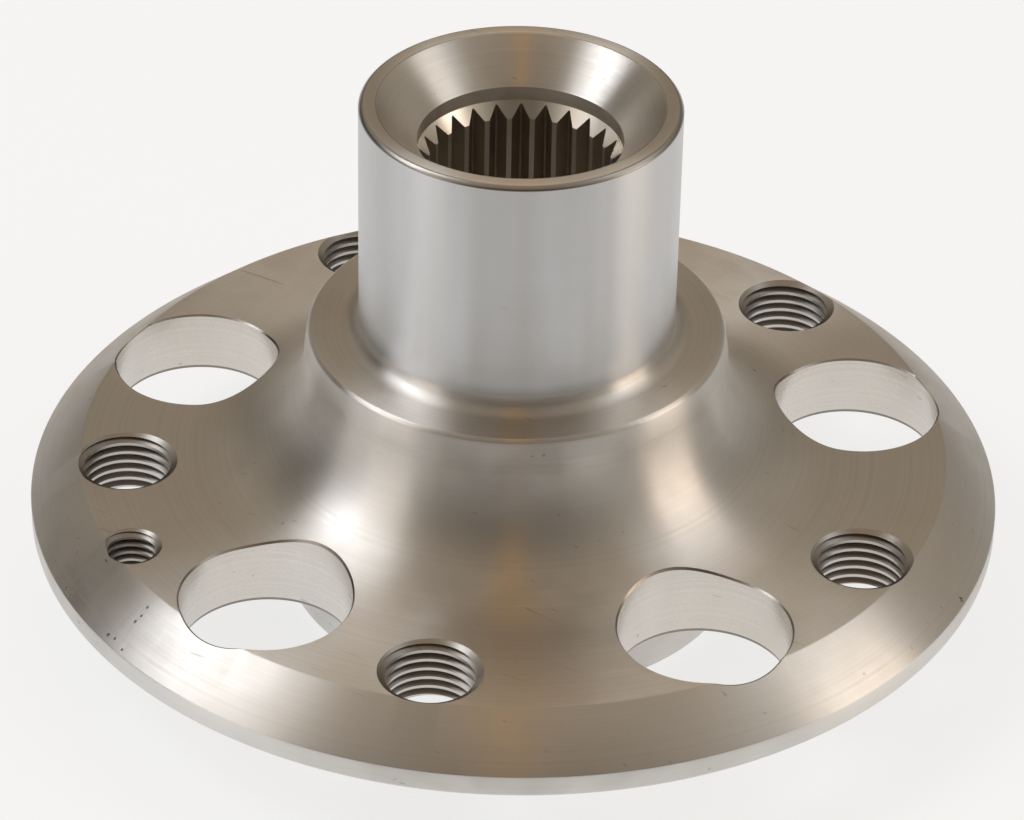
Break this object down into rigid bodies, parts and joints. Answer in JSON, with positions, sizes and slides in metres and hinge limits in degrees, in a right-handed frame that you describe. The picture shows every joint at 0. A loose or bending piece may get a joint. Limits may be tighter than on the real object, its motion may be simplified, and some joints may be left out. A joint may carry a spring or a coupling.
{
  "type": "wheel hub",
  "caption": "Machined wheel hub for a driven wheel: a tapered round flange with tapped wheel-bolt holes and round access holes, a flared neck and a splined bearing barrel.",
  "frame": {"origin": "centre of the wheel pilot's end face, which the hub stands on", "axes": "+Z along the axis towards the end of the bearing barrel, +X through the centre of a wheel-bolt hole"},
  "size_m": [0.14, 0.14, 0.078],
  "materials": {
    "hub_steel": "turned, ground on the barrel"
  },
  "bodies": {
    "root": {"hub": "hub_steel"}
  },
  "joints": []
}
